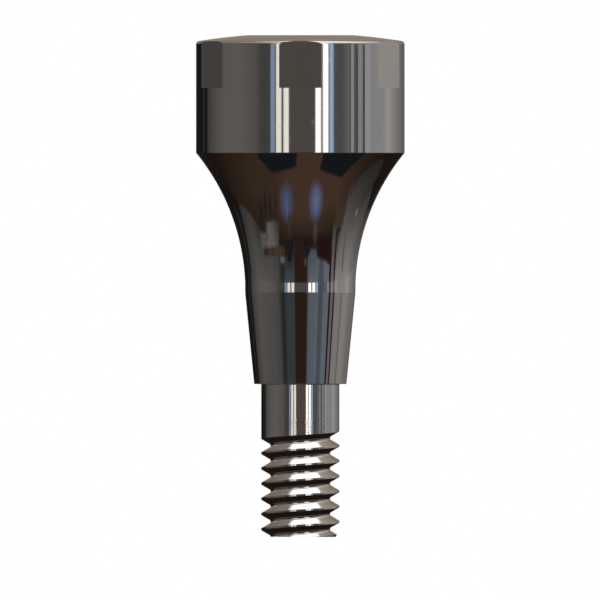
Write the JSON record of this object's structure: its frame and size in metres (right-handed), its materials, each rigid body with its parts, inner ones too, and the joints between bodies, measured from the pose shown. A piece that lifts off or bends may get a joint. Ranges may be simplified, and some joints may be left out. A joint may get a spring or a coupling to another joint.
{
  "type": "magnetic abutment",
  "caption": "Polished titanium post for a dental implant: fine thread and self-locking cone below, a flared round head with a sealed magnet above.",
  "frame": {"origin": "on the axis, level with the implant's rim, where the self-locking cone ends", "axes": "+Z along the axis towards the magnet's face, -Y is the normal of one of the six driver flats"},
  "size_m": [0.0048, 0.0048, 0.0115],
  "materials": {
    "polished_titanium": "turned and polished titanium alloy",
    "lid_titanium": "turned and polished titanium, laser welded at its edge",
    "magnet_alloy": "ground samarium cobalt"
  },
  "bodies": {
    "root": {"abutment_body": "polished_titanium", "magnet": "magnet_alloy", "lid": "lid_titanium"}
  },
  "joints": []
}
